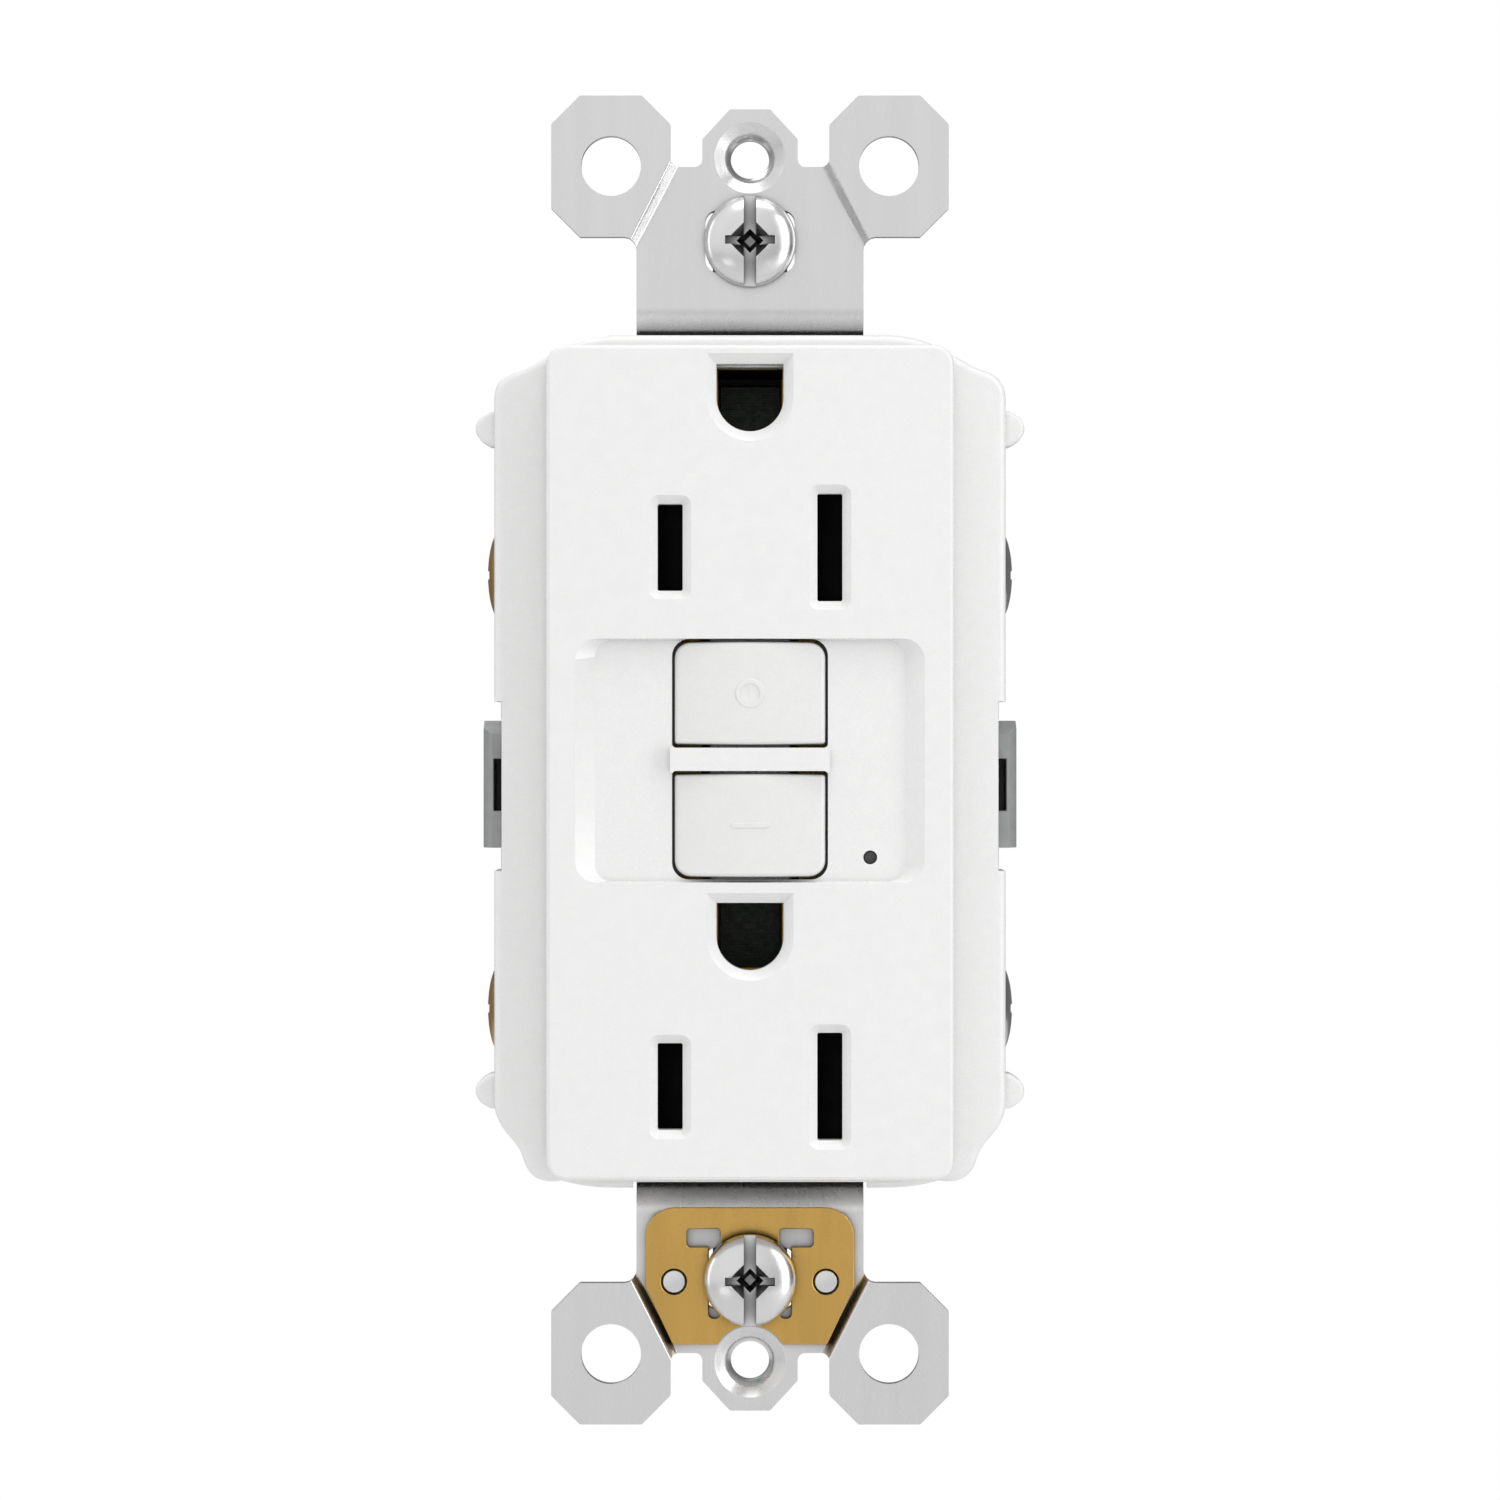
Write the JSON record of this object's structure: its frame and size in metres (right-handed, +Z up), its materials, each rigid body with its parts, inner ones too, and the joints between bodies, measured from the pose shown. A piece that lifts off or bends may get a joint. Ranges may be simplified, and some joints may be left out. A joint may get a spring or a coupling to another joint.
{
  "type": "gfci outlet",
  "caption": "Ground-fault protected duplex receptacle with a rectangular face, test and reset buttons, side terminals and an eared mounting strap.",
  "frame": {"origin": "middle of the device on the wall's surface, in the plane of the ears' back faces", "axes": "+X to the right seen from the front, +Y into the wall box, +Z up along the strap"},
  "size_m": [0.0442, 0.0325, 0.1066],
  "materials": {
    "white_plastic": "smooth moulded, satin gloss",
    "grey_plastic": "moulded, fine texture",
    "pale_plastic": "moulded",
    "dark_plastic": "moulded",
    "galvanised_steel": "satin zinc plate",
    "bright_steel": "bright plate",
    "brass": "satin",
    "green_steel": "green dyed plate",
    "copper": "bare or enamelled copper",
    "board": "solder mask",
    "clear_plastic": "clear",
    "fibre": "vulcanised fibre",
    "blue_ceramic": "epoxy coat"
  },
  "bodies": {
    "housing": {"mounting_strap": "galvanised_steel", "grounding_clip": "brass", "retaining_washer_top": "fibre", "retaining_washer_bottom": "fibre", "front_cover": "white_plastic", "separator": "pale_plastic", "back_body": "grey_plastic", "housing_screw_1": "bright_steel", "housing_screw_2": "bright_steel", "housing_screw_3": "bright_steel", "housing_screw_4": "bright_steel", "reset_spring": "bright_steel", "test_contact_blade": "copper", "upper_shutter_spring": "bright_steel", "lower_shutter_spring": "bright_steel", "hot_face_contact": "brass", "neutral_face_contact": "brass", "upper_ground_contact": "brass", "lower_ground_contact": "brass", "circuit_board": "board", "coil_case": "dark_plastic", "sensing_coil": "copper", "neutral_coil": "copper", "hot_line_conductor": "copper", "neutral_line_conductor": "copper", "solenoid_bobbin": "dark_plastic", "solenoid_winding": "copper", "solenoid_frame": "bright_steel", "plunger_spring": "bright_steel", "arm_bridge": "dark_plastic", "surge_disc": "blue_ceramic", "capacitor": "dark_plastic", "control_chip": "dark_plastic", "light_pipe": "clear_plastic", "indicator_lamp": "clear_plastic", "line_hot_terminal_bar": "brass", "line_neutral_terminal_bar": "brass", "load_hot_terminal_bar": "brass", "load_neutral_terminal_bar": "brass"},
    "test_button": {"test_button": "white_plastic"},
    "reset_button": {"reset_button": "white_plastic", "latch_pin": "bright_steel"},
    "upper_shutter": {"upper_shutter": "dark_plastic"},
    "lower_shutter": {"lower_shutter": "dark_plastic"},
    "trip_latch": {"plunger": "bright_steel", "latch_plate": "bright_steel"},
    "contact_lifter": {"contact_lifter": "pale_plastic"},
    "hot_arm": {"hot_contact_arm": "copper"},
    "neutral_arm": {"neutral_contact_arm": "copper"},
    "box_screw_top": {"box_screw_top": "bright_steel"},
    "box_screw_bottom": {"box_screw_bottom": "bright_steel"},
    "ground_screw": {"ground_screw": "green_steel"},
    "line_hot_clamp": {"line_hot_clamp_plate": "brass"},
    "line_hot_screw": {"line_hot_terminal_screw": "brass"},
    "line_neutral_clamp": {"line_neutral_clamp_plate": "brass"},
    "line_neutral_screw": {"line_neutral_terminal_screw": "bright_steel"},
    "load_hot_clamp": {"load_hot_clamp_plate": "brass"},
    "load_hot_screw": {"load_hot_terminal_screw": "brass"},
    "load_neutral_clamp": {"load_neutral_clamp_plate": "brass"},
    "load_neutral_screw": {"load_neutral_terminal_screw": "bright_steel"}
  },
  "joints": [
    {"name": "test_press", "type": "slide", "parent": "housing", "child": "test_button", "axis": [0, 1, 0], "range_m": [0, 0.0011], "stiffness_N_per_m": 1500, "springref_m": -0.0004},
    {"name": "reset_press", "type": "slide", "parent": "housing", "child": "reset_button", "axis": [0, 1, 0], "range_m": [0, 0.0015], "stiffness_N_per_m": 2500, "springref_m": -0.0006, "deforming": ["reset_spring"]},
    {"name": "upper_shutter_slide", "type": "slide", "parent": "housing", "child": "upper_shutter", "axis": [1, 0, 0], "range_m": [0, 0.0028], "stiffness_N_per_m": 200, "springref_m": -0.001, "deforming": ["upper_shutter_spring"]},
    {"name": "lower_shutter_slide", "type": "slide", "parent": "housing", "child": "lower_shutter", "axis": [1, 0, 0], "range_m": [0, 0.0028], "stiffness_N_per_m": 200, "springref_m": -0.001, "deforming": ["lower_shutter_spring"]},
    {"name": "trip_pull", "type": "slide", "parent": "housing", "child": "trip_latch", "axis": [0, 0, 1], "range_m": [0, 0.0013], "stiffness_N_per_m": 300, "springref_m": -0.001, "deforming": ["plunger_spring"]},
    {"name": "lifter_drop", "type": "slide", "parent": "housing", "child": "contact_lifter", "axis": [0, 1, 0], "range_m": [0, 0.0011], "stiffness_N_per_m": 400, "springref_m": -0.0008},
    {"name": "hot_arm_flex", "type": "hinge", "parent": "housing", "child": "hot_arm", "pos_m": [-0.0062, 0.01205, 0.0104], "axis": [1, 0, 0], "range_deg": [0, 3.8]},
    {"name": "neutral_arm_flex", "type": "hinge", "parent": "housing", "child": "neutral_arm", "pos_m": [0.0062, 0.01205, 0.0104], "axis": [1, 0, 0], "range_deg": [0, 3.8]},
    {"name": "line_hot_clamp_slide", "type": "slide", "parent": "housing", "child": "line_hot_clamp", "axis": [1, 0, 0], "range_m": [0, 0.0018]},
    {"name": "line_hot_screw_turn", "type": "hinge", "parent": "line_hot_clamp", "child": "line_hot_screw", "pos_m": [-0.0185, 0.0124, 0.0152], "axis": [1, 0, 0], "range_deg": [0, 817]},
    {"name": "line_neutral_clamp_slide", "type": "slide", "parent": "housing", "child": "line_neutral_clamp", "axis": [-1, 0, 0], "range_m": [0, 0.0018]},
    {"name": "line_neutral_screw_turn", "type": "hinge", "parent": "line_neutral_clamp", "child": "line_neutral_screw", "pos_m": [0.0185, 0.0124, 0.0152], "axis": [-1, 0, 0], "range_deg": [0, 817]},
    {"name": "load_hot_clamp_slide", "type": "slide", "parent": "housing", "child": "load_hot_clamp", "axis": [1, 0, 0], "range_m": [0, 0.0018]},
    {"name": "load_hot_screw_turn", "type": "hinge", "parent": "load_hot_clamp", "child": "load_hot_screw", "pos_m": [-0.0185, 0.0124, -0.0205], "axis": [1, 0, 0], "range_deg": [0, 817]},
    {"name": "load_neutral_clamp_slide", "type": "slide", "parent": "housing", "child": "load_neutral_clamp", "axis": [-1, 0, 0], "range_m": [0, 0.0018]},
    {"name": "load_neutral_screw_turn", "type": "hinge", "parent": "load_neutral_clamp", "child": "load_neutral_screw", "pos_m": [0.0185, 0.0124, -0.0205], "axis": [-1, 0, 0], "range_deg": [0, 817]},
    {"name": "box_screw_top_turn", "type": "hinge", "parent": "housing", "child": "box_screw_top", "pos_m": [0, -0.0002, 0.04167], "axis": [0, 1, 0], "continuous": true},
    {"name": "box_screw_bottom_turn", "type": "hinge", "parent": "housing", "child": "box_screw_bottom", "pos_m": [0, -0.0009, -0.04167], "axis": [0, 1, 0], "continuous": true},
    {"name": "ground_screw_turn", "type": "hinge", "parent": "housing", "child": "ground_screw", "pos_m": [-0.0046, 0.0072, -0.0365], "axis": [0, 0, 1], "continuous": true}
  ],
  "couplings": [
    {"joint": "hot_arm_flex", "follows": "lifter_drop", "rad_per_m": 59.5},
    {"joint": "neutral_arm_flex", "follows": "lifter_drop", "rad_per_m": 59.5},
    {"joint": "line_hot_screw_turn", "follows": "line_hot_clamp_slide", "rad_per_m": 7913.3},
    {"joint": "line_neutral_screw_turn", "follows": "line_neutral_clamp_slide", "rad_per_m": 7913.3},
    {"joint": "load_hot_screw_turn", "follows": "load_hot_clamp_slide", "rad_per_m": 7913.3},
    {"joint": "load_neutral_screw_turn", "follows": "load_neutral_clamp_slide", "rad_per_m": 7913.3}
  ]
}
